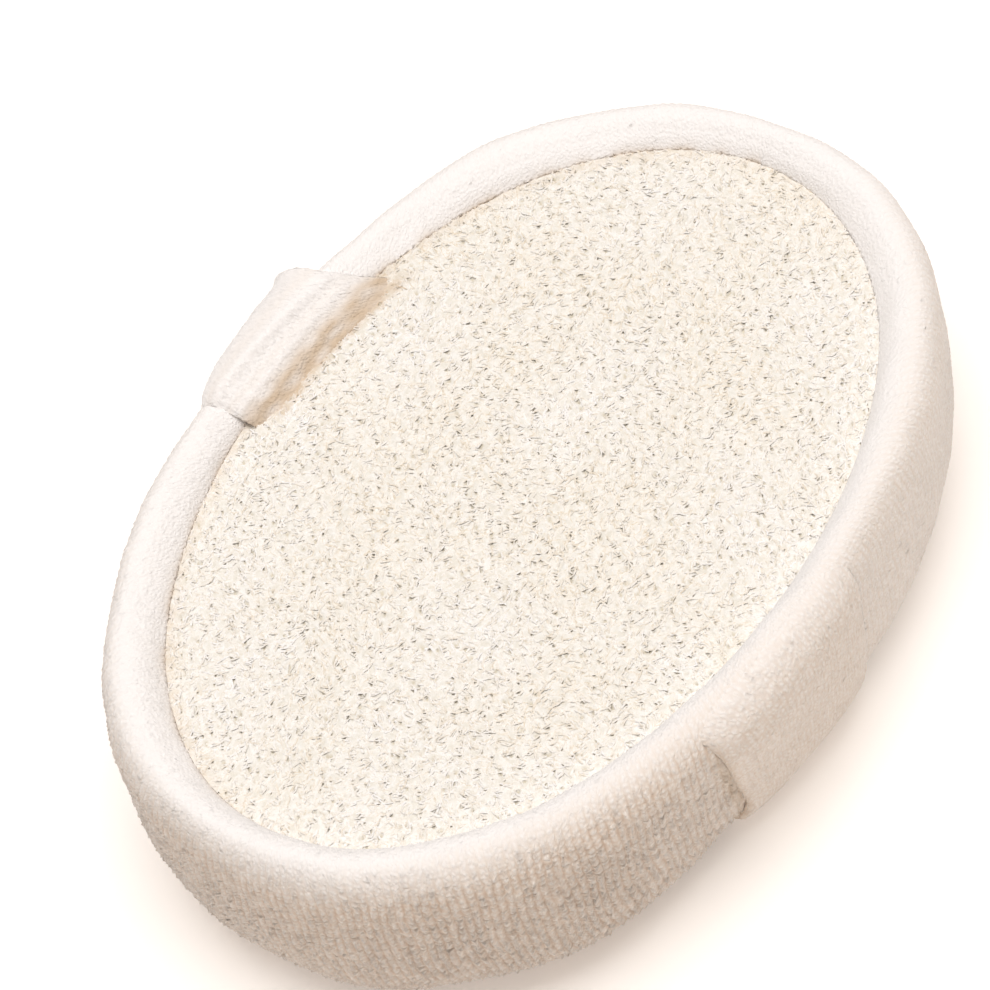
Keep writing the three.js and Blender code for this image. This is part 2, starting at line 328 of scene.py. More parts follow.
# %% Sizes of the rim and the strap
PILE = 0.38  # a loop's height
PILE_SUNK = 0.19  # how much of it lies under the section's line
STRAP_WIDTH = 31.0
STRAP_SHIFT = -1.2  # the strap's middle along the oval
STRAP_SKEW = 0.137  # its drift along the oval for each millimetre across the pad
STRAP_DENT = 2.7  # how far the tight strap pulls the near wall in
DENT_MIDDLE = -16.0
SPLAY = 6.5  # how much wider the strap's near end is at the rim
TAPER = 1.7  # how much narrower it is further down
near_strap_edge = STRAP_SHIFT - STRAP_WIDTH / 2
band = Terry(girth, cover.length, BAND_LOOP, closed_round=True, ribbed=1.0, seed=3)

# %% [markdown]
# The strap is tight on the near side. It pulls the wall in, and the wall swells a little beside its edge.
# Each of these is a function of the place on the oval and of run, the way down the section from the loofah.

# %% What the strap does to the wall
def around(column):
    """The angle round the oval of a place along the band, counted in ribs."""
    turn = column / band.columns
    return np.interp(turn % 1, np.arange(ANGLE_STEPS + 1) / ANGLE_STEPS, np.append(angles, 2 * np.pi))


def strap_dent(x, y, run):
    """The near wall is drawn in under the strap and beside it, from below the crown to the back."""
    down_wall = rise(run, 12, 26) * rise(run, cover.length, cover.length - 10)
    return STRAP_DENT * bump(x, DENT_MIDDLE, 24) * (y < 0) * down_wall


def under_strap(x, y, run):
    """1 where the strap lies over the near wall, 0 beside it."""
    inside_edge = STRAP_WIDTH / 2 - np.abs(x - STRAP_SHIFT - STRAP_SKEW * y)
    return rise(inside_edge, 3.5, 5.5) * rise(run, 14, 18) * (y < 0)


def splayed(run):
    """How much further left the strap's near end reaches, where it is sewn in under the rim."""
    return (SPLAY * rise(run, 34, 7) - TAPER) * rise(run, 80, 50)


# %% [markdown]
# The rim isn't the same all round. On the near side it leans in over the loofah. On the far side it sags,
# and it is pressed flattest where the strap's other end is folded over it.

# %% How the rim lies
NEAR_ROLL = 1.7
FAR_SAG = 1.3
RIM_PRESSED = 1.9
FOLDED_STRAP_MIDDLE = 9.0


def far_side(x, y):
    """About 1 at the far edge of the pad, 0 across its middle and -1 at the near edge."""
    return 0.7 * x / half_length + 0.72 * y / half_width


def rolled_in(x, y, run):
    """How far the rim leans over the loofah on the near side."""
    return NEAR_ROLL * np.clip(-far_side(x, y), 0, 1) * rise(run, 15, 7)


def rim_pressed(x, y, run):
    """How far the far rim lies lower than the near one: a little all along, most under the folded strap."""
    far = np.clip(far_side(x, y), 0, 1)
    sag = FAR_SAG * far * (2 - far)
    under = rise(np.abs(x - FOLDED_STRAP_MIDDLE + 0.3 * run), 15, 10) * (y > 0)
    pressed = RIM_PRESSED * under**2 * (3 - 2 * under)
    return np.maximum(sag, pressed) * rise(run, 17, 8)


# %% [markdown]
# The ribs run down the wall, and slant a little where the cloth was pulled under. Low swells keep the
# outline from being as true as a moulding.

# %% Places on the band
RIB_SLANT = 2.6
SINKS_UNDER_STRAP = 0.4
SWELLS_BESIDE_STRAP = 0.4


def band_points(column, run, lift):
    """Points of the band. A lift is a height out of the cloth."""
    wall_x, wall_y = oval_point(0, around(column))
    slant = RIB_SLANT * rise(run, 24, 44) ** 1.5
    wander = 0.2 * waves(wall_x + run, wall_y - run, 24, seed=4)
    angle = around(column + (slant + wander) / BAND_LOOP[0])
    swell = 0.2 * waves(wall_x + run, wall_y + 0.7 * run, 42, seed=5)
    swell = swell + 0.08 * waves(wall_x - 0.6 * run, wall_y + run, 14, seed=6)
    on_wall = rise(run, 0, 3) * rise(run, cover.length, cover.length - 8)
    sunk = strap_dent(wall_x, wall_y, run) + SINKS_UNDER_STRAP * under_strap(wall_x, wall_y, run)
    past_edge = wall_x - near_strap_edge - STRAP_SKEW * wall_y + splayed(run)
    sunk = sunk - SWELLS_BESIDE_STRAP * bump(past_edge, -1.1, 0.9) * (wall_y < 0) * rise(run, 10, 16)
    inset, z = cover.at(run, lift + swell * on_wall - sunk)
    x, y = oval_point(inset + rolled_in(wall_x, wall_y, run), angle)
    return np.stack([x, y, z - rise(run, 0, 4) * rim_pressed(wall_x, wall_y, run)], 1)


run = band.v / band.rows * cover.length
wall_x, _ = oval_point(0, around(band.u))
combed = rise(wall_x, -50, 10)  # 0 where the loops stand in ribs, 1 where they are brushed even
depth = 0.08 + 0.42 * rise(run, 0, 5) + 0.5 * rise(run, 9, 21)
depth = depth * (1.3 - 0.8 * combed)
outside = band_points(band.u, run, (PILE * band.height - PILE_SUNK) * depth)
print(f"the loops are up to {(PILE * band.height * depth).max():.2f} mm high")

# %% [markdown]
# A finish can't tell how the cloth lies or where light falls on it, so each point carries three values: how
# light the pile is, with painted shade low between the loops; how much of that painted shade it gets, more
# down the wall than on the rim, stored as open; and how brown it is, from painted shade in creases and at
# the rim's inner edge, and from stain with painted shade at the strap's sewn end. They are stored on the
# mesh as point attributes, which cost less than a picture and stay sharp.

# %% Shade of the band
def cloth_shade(height, shade_share, seam):
    """What the terry finish is read from, for each point: painted shade between the loops, by the given
    share.
    """
    shade_share = np.broadcast_to(shade_share, height.shape)
    return {
        "pile": 1 - shade_share * (1 - height.clip(0, 1)),
        "open": shade_share,
        "stain_and_shade": np.broadcast_to(seam, height.shape),
    }


x, y, _ = outside.T
# Painted shade: brown in the crease beside the strap's near edge, and at the far rim's edge by the loofah.
strap_edge_x = near_strap_edge - STRAP_SKEW * half_width - splayed(run)
strap_crease_shade = 0.4 * bump(x, strap_edge_x - 0.3, 1.3) * (y < 0) * rise(run, 10, 17)
patchy = np.clip(0.6 + 0.4 * waves(x, y, 8, seed=7), 0.15, 1)
rim_gap_shade = 0.7 * patchy * np.exp(-run / 0.8) * (y > 0)
# Painted shade between the loops: down the wall, and higher up on the near side, away from the light.
near = np.clip(-1.3 * y / half_width - 0.3, 0, 1)
shade_down_wall = 0.1 + 0.9 * rise(run + 3.5 * near, 7, 14)
shades = cloth_shade(band.height, shade_down_wall * (1 - 0.35 * combed), np.maximum(strap_crease_shade, rim_gap_shade))
print(f"the band's mean pile is {shades['pile'].mean():.2f}")

# %% [markdown]
# The band's inside is never seen. It is three plain rows of points, which close the mesh between the edge
# at the back and the edge at the loofah.

# %% Side band mesh
INNER_EDGE_INSET = 4.5
inside = [
    (INNER_EDGE_INSET, back_bottom - SEAT_GAP),
    (WALL_THICKNESS, back_top + SEAT_GAP),
    (WALL_THICKNESS, rim_underside),
]


def add_terry(name, stands_for, cloth, points, triangles, shades, hidden_stain_and_shade=0.0):
    """A piece of terry. Its cloth's points and triangles come first, and hidden ones follow."""
    points, triangles = np.concatenate(points), np.concatenate(triangles)
    hidden = {"pile": 0.3, "open": 0.5, "stain_and_shade": hidden_stain_and_shade}
    more = len(points) - len(cloth.u)
    values = {key: np.append(value, np.full(more, hidden[key])) for key, value in shades.items()}
    corners = 3 * (len(triangles) - len(cloth.triangles))
    picture = np.concatenate([cloth.uv * (1, 0.97), np.full((corners, 2), (0.5, 0.985))])
    weave = np.concatenate([cloth.uv * cloth.size, np.zeros((corners, 2))])
    return add_piece(name, points, triangles, stands_for, picture, values, weave)


points, triangles = [outside], [band.triangles]
previous = band.edge(band.rows)
half_ribs = np.arange(2 * band.columns)
for row, (inset, z) in enumerate(inside):
    x, y = oval_point(inset, around(half_ribs / 2))
    points.append(np.stack([x, y, np.full(len(x), z)], 1))
    line = len(band.u) + row * len(x) + half_ribs
    triangles.append(joined_loops(previous, line))
    previous = line
triangles.append(joined_loops(previous, band.edge(0)))
side_band = add_terry("terry_band", "terry_side_band", band, points, triangles, shades)

# %% [markdown]
# ## The hand strap
# The strap is a flat tube of terry. One end is folded over the rim and sewn down on the loofah, where it
# lies in folds with one loose corner. The other end is sewn in at the rim's outer shoulder, wider there,
# and thins away. Between them the strap runs flat under the pad, which rests on it. A curve with a bevel
# would give a plain tube, so the strap is a grid of loops bent along a line in section, as the band is.

# %% Strap line
STRAP_THICKNESS = 2.1
STRAP_PILE = 0.2
TONGUE_INSET = RIM_WIDTH + 3.8  # how far in on the loofah the folded end is sewn
SHOULDER_INSET = 3.6  # where the near end comes out of the rim
tongue_height = face_height + 0.2
tongue = curve_points(
    (TONGUE_INSET, tongue_height),
    (RIM_WIDTH + 2.0, tongue_height),
    (RIM_WIDTH - 0.6, crown),
    (RIDGE_INSET, crown),
)
fold_side = np.concatenate([tongue, cover.points[np.argmax(cover.points[:, 1]) + 1 :]])


def wall_line(points, side):
    """Part of the cover's section as (across, up), from its start to the pad's lowest point."""
    lowest = np.argmin(points[:, 1] + np.where(points[:, 0] > LOWEST_INSET, 9, 0))
    kept = points[: lowest + 1]
    return np.stack([side * (half_width - kept[:, 0]), kept[:, 1]], 1)


far_wall = wall_line(fold_side, 1)
shoulder = np.argmax(cover.points[:, 0] <= SHOULDER_INSET)
near_wall = wall_line(cover.points[shoulder:], -1)
near_start = cover.runs[shoulder]
flat_run = np.linspace(far_wall[-1], near_wall[-1], 200)[1:-1]
strap_line = Section(np.concatenate([far_wall, flat_run, near_wall[::-1]]), side=-1)
print(f"the strap is {strap_line.length:.0f} mm long and {STRAP_WIDTH:.0f} mm wide")

# %% The flat tube
half_strap = STRAP_WIDTH / 2
flat_part = STRAP_WIDTH - STRAP_THICKNESS
tube_girth = 2 * flat_part + math.pi * STRAP_THICKNESS
strap = Terry(tube_girth, strap_line.length, STRAP_LOOP, closed_round=True, ribbed=0.0, seed=11)


def strap_section(column):
    """Place across the strap, height over its middle and the way out, on a flat tube with round edges."""
    g = (column / strap.columns * tube_girth) % tube_girth
    bend = math.pi * STRAP_THICKNESS / 2
    half_girth = flat_part + bend
    side = np.where(g < half_girth, 1, -1)  # the top with its right edge, or the same turned over
    g = np.where(g < half_girth, g, g - half_girth)
    turn = ((g - flat_part) / bend * math.pi).clip(0)
    out_across, out_up = side * np.sin(turn), side * np.cos(turn)
    across = side * (np.minimum(g, flat_part) - flat_part / 2) + out_across * STRAP_THICKNESS / 2
    return across, out_up * STRAP_THICKNESS / 2, out_across, out_up


# %% [markdown]
# A share below runs across the strap from -1 on its left to 1 on its right. The way along it is counted as
# run from the folded end, and as left from the end on the near side.

# %% How the strap lies
TONGUE_RUN = 12.7  # from the folded end to the top of the rim
FOLDS = [(0.35, 5.8, 0.4, 0.7), (0.9, 8.8, -0.7, 0.75), (0.35, 12.1, 0.6, 1.0)]  # height, run, slant, width


def strap_thinness(share, run, left):
    """The tube's thickness as a share of the full one: thin at both sewn ends and at the edges there."""
    ends = np.minimum(0.1 + 0.9 * rise(left, 0, 11) ** 0.8, 0.25 + 0.75 * rise(run, 0, 14))
    near_edges = np.where(share > 0, 0.95 * np.abs(share) ** 3, 0.8 * np.abs(share) ** 4)
    near_wedge = 1 - near_edges * rise(left, 40, 26)
    far_edges = np.where(share > 0, 0.9 * rise(share, 0.25, 1) ** 1.3, 0.6 * share**4)
    far_wedge = 1 - far_edges * rise(run, 18, 14)
    return ends * near_wedge * far_wedge


def folded_end(share, up, run):
    """How far the folded end stands off its line: folds, edges pressed down and a loose corner."""
    folds = sum(height * bump(run, at + slant * share, width) for height, at, slant, width in FOLDS)
    pressed = 0.9 * np.abs(share) ** 6 * rise(run, 21, 13)
    loose = (0.3 + 1.2 * share) * bump(run, 17, 7)
    loose = loose + 3.6 * share.clip(0) ** 4 * bump(run, 14.5, 4)
    on_top = (up / STRAP_THICKNESS + 0.5).clip(0, 1)
    return folds * (1 - pressed / 2) - pressed + loose * (0.05 + 0.95 * on_top)


def strap_points(column, run, pile):
    """Points of the strap. A pile is a loop's height out of the tube."""
    across, up, out_across, out_up = strap_section(column)
    share = across / half_strap
    left = strap_line.length - run
    down_near_wall = left + near_start
    sunk = 0.9 * rise(left, 5, 0) + 0.9 * rise(run, 3, 0)
    raised = SEAT_GAP + (STRAP_THICKNESS / 2 + up) * strap_thinness(share, run, left) - sunk
    near_edge = 0.15 * np.abs(share) ** 8 * rise(left, 44, 32)
    on_floor = bump(run, strap_line.length / 2, 42) ** 0.5
    swell = 0.14 * waves(across, run, 19, seed=12) * rise(left, 0, 10) * (1 - on_floor)
    x = across + pile * out_across + (5 + 1.3 * share) * rise(run, TONGUE_RUN, 0)
    x = x - 4.2 * share.clip(0) * rise(run, 0, TONGUE_RUN) * rise(run, 36, 22)
    x = x + share.clip(-1, 0) * splayed(down_near_wall)
    near_x = x + STRAP_SHIFT - STRAP_SKEW * half_width
    dent = strap_dent(near_x, np.where(left < 50, -1, 1), down_near_wall)
    lift = raised + folded_end(share, up, run) - near_edge + swell + pile * out_up - dent
    y, z = strap_line.at(run, lift)
    x = x + STRAP_SHIFT + STRAP_SKEW * y
    z = z - rim_pressed(x, y, run) * rise(run, 0, 5)
    y = y + np.where(y < 0, rolled_in(x, y, down_near_wall), 0)
    a, _, power = oval_axes(np.minimum(half_width - np.abs(y), TONGUE_INSET))
    follow = (1 - np.abs(x / a) ** power) ** (1 / power)
    return np.stack([x, y * follow, z], 1)


# %% Strap mesh
run = strap.v / strap.rows * strap_line.length
points = strap_points(strap.u, run, STRAP_PILE * (strap.height - 0.5))
across, *_ = strap_section(strap.u)
share = across / half_strap
# Painted shade along the near end's left edge and in the folds; stain with painted shade at the sewn end.
near_edge = rise(-share, 0.93, 1) * (strap_line.length - run < 45)
crease_shade = 0.12 * (bump(run, 6.7 - 0.15 * share, 0.6) + bump(run, 10.2, 0.7))
patchy = np.clip(0.85 + 0.2 * waves(across, 2 * run, 6, seed=13), 0.4, 1)
sewn = patchy * rise(run, 5.9, 3.1)
seam = np.maximum(0.8 * sewn, np.maximum(0.3 * near_edge, crease_shade))
# Painted shade between the loops, down the wall from the rim.
down_wall = np.minimum(run - 10, strap_line.length - run + near_start)
shades = cloth_shade(strap.height, 0.1 + 0.8 * rise(down_wall, 4, 13), seam)
ends = [points[strap.edge(0)].mean(0), points[strap.edge(strap.rows)].mean(0)]
triangles = [
    strap.triangles,
    fan(strap.edge(0)[::-1], len(points)),
    fan(strap.edge(strap.rows), len(points) + 1),
]
points = [points, ends]
hand_strap = add_terry("terry_strap", "hand_strap", strap, points, triangles, shades, hidden_stain_and_shade=0.6)

# %% [markdown]
# ## The back panel
# The back is a plain oval of the same terry with its loops facing down. A square grid of loops is bent into
# the oval, so that no loop is pinched to a point in the middle. Its edge lies hidden on the lower rim.

# %% Back panel
PANEL_EDGE_INSET = 4.9
PANEL_LOOP = (1.25, 1.23)
PANEL_SEATED = 0.2  # how far the cloth sits up from the solid's underside


def square_to_disc(u, v):
    """A square from -1 to 1 bent into a disc, with nothing pinched in its middle."""
    return u * np.sqrt(1 - v**2 / 2), v * np.sqrt(1 - u**2 / 2)


a, b, _ = oval_axes(PANEL_EDGE_INSET)
panel = Terry(2 * a, 2 * b, PANEL_LOOP, closed_round=False, ribbed=0.6, seed=17)
disc_x, disc_y = square_to_disc(2 * panel.u / panel.columns - 1, 2 * panel.v / panel.rows - 1)
slack = 0.5 * waves(disc_x * a, disc_y * b, 38, seed=18) * (1 - disc_x**2 - disc_y**2).clip(0, 1)
under = back_bottom + PILE_SUNK - PILE * panel.height + slack + PANEL_SEATED
points = np.stack([disc_x * a, disc_y * b, under], 1)
side_rows = np.arange(1, panel.rows)
right_side, left_side = (panel.corner(column, side_rows) for column in (panel.columns, 0))
rim_loop = np.concatenate([panel.edge(0), right_side, panel.edge(panel.rows)[::-1], left_side[::-1]])
upper = points[rim_loop].copy()
upper[:, 2] = back_top
upper_loop = len(points) + np.arange(len(rim_loop))
middle = upper_loop[-1] + 1
triangles = [
    panel.triangles,
    joined_loops(rim_loop, upper_loop)[:, ::-1],
    fan(upper_loop, middle)[:, ::-1],
]
back_points = [points, upper, [[0, 0, back_top]]]
# Painted shade between the loops, as on the wall.
back_shades = cloth_shade(panel.height, 0.7, 0.0)
back_panel = add_terry("terry_back", "terry_back_panel", panel, back_points, triangles, back_shades)

# %% [markdown]
# ## The loofah
# A pressed loofah is a felt of short curly fibres, each about 0.4 mm thick, with small dark gaps where one
# looks down into it. Hair curves could stand for the fibres, but they don't export as a mesh. So the loofah
# is built as the real one is: a straw-coloured mat with pits, painted darker as shade, and two layers of
# fibres laid over it.

# %% The loofah's surface
FACE_EDGE = 4.8  # fibres reach this far out under the rim
FACE_SWELL = 0.9  # how much higher the middle stands than the edge


def face_top(x, y):
    """The loofah's height: level at the rim, swollen in the middle, with broad dents."""
    level = np.minimum(oval_level(x, y, RIM_WIDTH), 1)
    dents = 0.22 * waves(x, y, 26, seed=31) + 0.12 * waves(x, y, 9, seed=32)
    return face_height + FACE_SWELL * (1 - level) + dents * (1 - level).clip(0, 0.3) / 0.3


middle_height = face_top(np.zeros(1), np.zeros(1))[0]
print(f"the loofah's middle is {middle_height:.1f} mm over the floor")

# %% [markdown]
# The gaps come first, because the fibres have to leave them open. A seeded draw on a staggered grid makes
# them irregular, but spreads them over the whole face.

# %% Where the gaps are
GAP_INSET = RIM_WIDTH + 0.6  # gaps keep clear of the rim
draw = np.random.default_rng(41)


def scattered(pitch, shake, inset):
    """Places on the face, one to each cell of a staggered grid, shaken out of line."""
    rows = np.arange(-int(half_width / pitch) - 2, int(half_width / pitch) + 3)
    columns = np.arange(-int(half_length / pitch) - 2, int(half_length / pitch) + 3)
    i, j = (g.ravel() for g in np.meshgrid(columns, rows))
    x = (i + 0.5 * (j % 2)) * pitch + draw.uniform(-shake, shake, i.size)
    y = j * pitch + draw.uniform(-shake, shake, i.size)
    kept = oval_level(x, y, inset) < 1
    return x[kept], y[kept]


small_x, small_y = scattered(1.95, 1.0, GAP_INSET)
kept = draw.random(small_x.size) < 0.72 + 0.25 * waves(small_x, small_y, 30, seed=42)
small_x, small_y = small_x[kept], small_y[kept]
wide_x, wide_y = scattered(7.4, 3.6, GAP_INSET)
gap_x, gap_y = np.append(small_x, wide_x), np.append(small_y, wide_y)
gap_size = np.append(draw.uniform(0.1, 0.23, small_x.size), draw.uniform(0.24, 0.36, wide_x.size))
print(f"{small_x.size} small gaps and {wide_x.size} wide ones")


def nearest_gap(x, y):
    """For each point the gap that it lies deepest in, and how far it is from the gap's middle."""
    which, away = np.zeros(len(x), int), np.zeros(len(x))
    at_once = 4000  # points, to keep the table of distances small
    for start in range(0, len(x), at_once):
        part = slice(start, start + at_once)
        far = np.hypot(x[part, None] - gap_x, y[part, None] - gap_y)
        which[part] = np.argmin(far - gap_size, axis=1)
        away[part] = far[np.arange(len(far)), which[part]]
    return which, away


def stain_and_shade(x, y):
    """How brown the loofah is: painted shade at the far rim, most at the strap's sewn end, stain and shade.
    """
    at_rim = rise(oval_level(x, y, RIM_WIDTH) ** 0.5, 0.955, 0.995)
    at_tongue = rise(oval_level(x, y, TONGUE_INSET + 0.8), 0.97, 1.01)
    along_strap = rise(np.abs(x - 11), 17, 13) * (y > 0)
    patchy = np.clip(0.8 + 0.4 * waves(x, y, 3.0, seed=43), 0.2, 1)
    painted_rim_shade = 0.3 * at_rim * np.clip(0.6 + y / half_width, 0, 1)
    return patchy * np.maximum(painted_rim_shade, 0.6 * at_tongue * along_strap)


# %% [markdown]
# The mat is a grid bent into the oval, like the back panel. One of its points is moved to the middle of
# each gap and pressed down, so that even a gap smaller than the grid has its pit.

# %% The mat under the fibres
MAT_COLUMNS, MAT_ROWS = 250, 176
MAT_EDGE_INSET = 4.2
MAT_DEPTH = 0.1  # under the middle of the fibres
PIT_DEPTH = 0.36
across, along = np.linspace(-1, 1, MAT_COLUMNS + 1), np.linspace(-1, 1, MAT_ROWS + 1)
disc_x, disc_y = square_to_disc(*(g.ravel() for g in np.meshgrid(across, along)))
a, b, _ = oval_axes(MAT_EDGE_INSET)
x, y = disc_x * a, disc_y * b
which, away = nearest_gap(x, y)
pit = np.clip(1.5 - away / gap_size[which], 0, 1)
for gap in range(len(gap_x)):
    closest = np.argmin((x - gap_x[gap]) ** 2 + (y - gap_y[gap]) ** 2)
    x[closest], y[closest], pit[closest] = gap_x[gap], gap_y[gap], 1
z = face_top(x, y) - MAT_DEPTH + 0.1 * waves(x, y, 2.3, seed=33) - PIT_DEPTH * pit
points = np.stack([x, y, z], 1)
index = np.arange(len(x)).reshape(MAT_ROWS + 1, MAT_COLUMNS + 1)
p, q, r, s = (k.ravel() for k in (index[:-1, :-1], index[:-1, 1:], index[1:, 1:], index[1:, :-1]))
faces = np.concatenate([np.stack([p, q, r], 1), np.stack([p, r, s], 1)])
rim_loop = np.concatenate([index[0, :-1], index[:-1, -1], index[-1, :0:-1], index[:0:-1, 0]])
lower = points[rim_loop].copy()
lower[:, 2] = loofah_low.z
lower_loop = len(points) + np.arange(len(rim_loop))
middle = lower_loop[-1] + 1
faces = np.concatenate([faces, joined_loops(lower_loop, rim_loop), fan(lower_loop[::-1], middle)])
points = np.concatenate([points, lower, [[0, 0, loofah_low.z]]])
mat_uv = (points[faces.ravel(), :2] / (2.1 * half_length)) + 0.5
pit = np.concatenate([pit, np.zeros(len(lower) + 1)])
mat_values = {"pit": pit, "stain_and_shade": stain_and_shade(points[:, 0], points[:, 1])}
loofah_mat = add_piece("loofah_mat", points, faces, "loofah_face", mat_uv, mat_values)

# %% [markdown]
# Fibres are pushed aside from the gaps, so they curl around them. Those that still cross a gap are dropped.

# %% Fibres round the gaps
def pushed_aside(x, y):
    """Points moved out of the gaps, so that fibres curl around them."""
    which, away = nearest_gap(x, y)
    away = away.clip(1e-6)
    size = gap_size[which] + 0.12
    push = np.where(away < size * 1.4, (size * 1.4 - away) * 0.5, 0)
    return x + (x - gap_x[which]) / away * push, y + (y - gap_y[which]) / away * push


def clear_of_gaps(px, py):
    """Which fibres leave the gaps open, looking also halfway between their rings."""
    full_x = np.concatenate([px, (px[:, 1:] + px[:, :-1]) / 2], axis=1)
    full_y = np.concatenate([py, (py[:, 1:] + py[:, :-1]) / 2], axis=1)
    which, away = nearest_gap(full_x.ravel(), full_y.ravel())
    return (away > gap_size[which]).reshape(full_x.shape).all(axis=1)


# %% Where the fibres run
FIBRE_PITCH = 0.84  # between the places that fibres start from
RINGS = 3  # cross-sections along one fibre
along_fibre = np.linspace(-1, 1, RINGS)[None]


def fibre_lines(length):
    """Lines over the face: one from each place of a grid, bent, and pushed out of the gaps."""
    x, y = scattered(FIBRE_PITCH, FIBRE_PITCH * 0.5, RIM_WIDTH - 1.2)
    count = len(x)
    lie = 1.5 * waves(x, y, 44, seed=51) + draw.normal(0, 0.85, count)
    lengths = draw.gamma(9, 1 / 9, count).clip(0.5, 1.7) * length
    bend = draw.normal(0, 1.7, count).clip(-3.2, 3.2)
    bend = np.where(np.abs(bend) < 0.1, 0.1, bend)
    heading = lie[:, None] + bend[:, None] * along_fibre / 2
    turn_radius = (lengths / bend)[:, None]
    px = x[:, None] + turn_radius * (np.sin(heading) - np.sin(lie)[:, None])
    py = y[:, None] - turn_radius * (np.cos(heading) - np.cos(lie)[:, None])
    flat_x, flat_y = pushed_aside(px.ravel(), py.ravel())
    level = oval_level(flat_x, flat_y, FACE_EDGE)
    squeeze = np.where(level > 1, level.clip(1) ** (-1 / FACE_POWER), 1)
    px, py = ((v * squeeze).reshape(count, RINGS) for v in (flat_x, flat_y))
    kept = clear_of_gaps(px, py)
    return x[kept], y[kept], px[kept], py[kept]


def fibre_pattern():
    """Triangles of one three-sided tube with closed ends, and a place on its picture for each corner."""
    faces, places = [], []
    for ring in range(RINGS - 1):
        low, high = ring / (RINGS - 1), (ring + 1) / (RINGS - 1)
        for k in range(3):
            p, q = ring * 3 + k, ring * 3 + (k + 1) % 3
            faces += [(p, q, q + 3), (p, q + 3, p + 3)]
            left, right = k / 3, (k + 1) / 3
            places += [(low, left), (low, right), (high, right)]
            places += [(low, left), (high, right), (high, left)]
    last = (RINGS - 1) * 3
    faces += [(0, 2, 1), (last, last + 1, last + 2)]
    places += [(0, 0), (0, 0.66), (0, 0.33), (1, 0), (1, 0.33), (1, 0.66)]
    return np.array(faces), np.array(places)


print(f"a fibre has {len(fibre_pattern()[0])} triangles")

# %% [markdown]
# Each fibre is a closed three-sided tube, pressed flat, arched, with both ends dipping into the mat. Its
# flesh lets light through, so its shading turns less at the sides than that of a hard tube. The mesh's own
# normals are replaced for that.

# %% Lay the fibres
PRESSED = 0.5  # a fibre's height as a share of its width
SIDE_SHADE = 0.65  # how far the shading turns at its sides


def lay_fibres(name, length, thick, depth):
    """A layer of fibres on the face, all in one piece."""
    x, y, px, py = fibre_lines(length)
    count = len(x)
    ride_up = draw.normal(0, 0.04, count)[:, None] - depth
    dip = draw.uniform(0.03, 0.16, count)[:, None] * np.abs(along_fibre) ** 2.2
    tilt = draw.normal(0, 0.05, count)[:, None] * along_fibre
    pz = face_top(px, py) + ride_up - dip + tilt
    centre = np.stack([px, py, pz], 2)
    along = unit(np.gradient(centre, axis=1))
    side = unit(np.cross(along, (0, 0, 1)))
    up = np.cross(side, along)
    girth = draw.normal(1, 0.18, count).clip(0.6, 1.5)[:, None] * thick / 2
    radius = (girth * (1 - 0.45 * np.abs(along_fibre) ** 3))[..., None]
    turns = np.radians([90, 210, 330])
    ring = [centre + radius * (np.cos(k) * side + PRESSED * np.sin(k) * up) for k in turns]
    points = np.stack(ring, 2).reshape(-1, 3)
    start = (np.arange(count) * RINGS * 3)[:, None]
    pattern, pattern_uv = fibre_pattern()
    triangles = (start + pattern.ravel()[None]).reshape(-1, 3)
    cells = math.ceil(math.sqrt(count))
    cell = np.stack([np.arange(count) % cells, np.arange(count) // cells], 1)
    uv = (cell[:, None, :] + 0.08 + 0.84 * pattern_uv[None]).reshape(-1, 2) / cells
    values = {
        "tone": np.repeat(draw.random(count), RINGS * 3),
        "stain_and_shade": np.repeat(stain_and_shade(x, y) * draw.uniform(0.6, 1.1, count), RINGS * 3),
    }
    piece = add_piece(name, points, triangles, "loofah_face", uv, values)
    outward = unit(points - np.repeat(centre.reshape(-1, 3), 3, axis=0))
    piece.data.normals_split_custom_set_from_vertices(unit(outward * SIDE_SHADE + (0, 0, 1)))
    return piece


lower_fibres = lay_fibres("loofah_lower_fibres", length=2.0, thick=0.42, depth=0.08)
upper_fibres = lay_fibres("loofah_upper_fibres", length=1.6, thick=0.34, depth=0.0)

# %% [markdown]
# ## Finishes
# Each finish is a small graph of nodes. One group is shared: it breaks any surface up with fine fuzz, as
# cotton and plant fibre both have, and gives a height for a Bump node and a mask for colour.

# %% Shared fuzz group
def set_inputs(node, **values):
    """Set sockets of a node by name, with _ for a space."""
    for label, value in values.items():
        node.inputs[label.replace("_", " ")].default_value = value


fuzz_group = bpy.data.node_groups.new("fine_fuzz", "ShaderNodeTree")
fuzz_in = fuzz_group.nodes.new("NodeGroupInput")
fuzz_out = fuzz_group.nodes.new("NodeGroupOutput")
coords = fuzz_group.nodes.new("ShaderNodeTexCoord")
for scale, result, detail, roughness in (("Fine", "Height", 3, 0.5), ("Broad", "Patches", 4, 0.6)):
    fuzz_group.interface.new_socket(scale, in_out="INPUT", socket_type="NodeSocketFloat")
    fuzz_group.interface.new_socket(result, in_out="OUTPUT", socket_type="NodeSocketFloat")
    noise = fuzz_group.nodes.new("ShaderNodeTexNoise")
    set_inputs(noise, Detail=detail, Roughness=roughness)
    fuzz_group.links.new(coords.outputs["Object"], noise.inputs["Vector"])
    fuzz_group.links.new(fuzz_in.outputs[scale], noise.inputs["Scale"])
    fuzz_group.links.new(noise.outputs["Fac"], fuzz_out.inputs[result])
print("node group", fuzz_group.name, "with", len(fuzz_group.nodes), "nodes")

# %% [markdown]
# The finishes share most of their steps, so a small class holds them.

